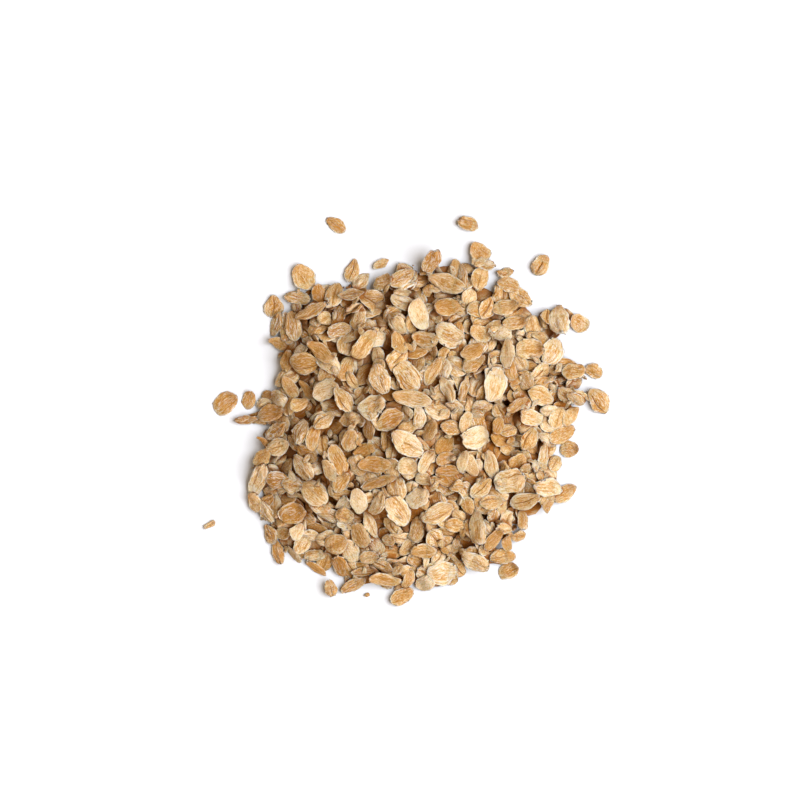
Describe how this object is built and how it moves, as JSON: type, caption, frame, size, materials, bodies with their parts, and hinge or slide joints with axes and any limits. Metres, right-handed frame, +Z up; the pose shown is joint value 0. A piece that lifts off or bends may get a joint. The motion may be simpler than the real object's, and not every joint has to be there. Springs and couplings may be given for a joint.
{
  "type": "heap of rolled oats",
  "caption": "Loose heap of dry rolled oat flakes on a flat surface, with an uneven edge and a few flakes lying apart from it.",
  "frame": {"origin": "middle of the heap and its stray flakes, on the surface they lie on", "axes": "+Z up from the surface, +Y towards the top of the picture, +X towards its right"},
  "size_m": [0.1475, 0.1407, 0.0253],
  "materials": {
    "heap_oats": "matte, dry tan oat flakes",
    "stray_oats": "matte, dry pale oat flakes"
  },
  "bodies": {
    "root": {"oat_heap": "heap_oats", "stray_top_left": "stray_oats", "stray_top_middle": "stray_oats", "stray_top_right": "stray_oats", "stray_top_chip": "stray_oats", "stray_left": "stray_oats", "stray_left_chip": "stray_oats", "stray_right": "stray_oats", "stray_bottom": "stray_oats"}
  },
  "joints": []
}
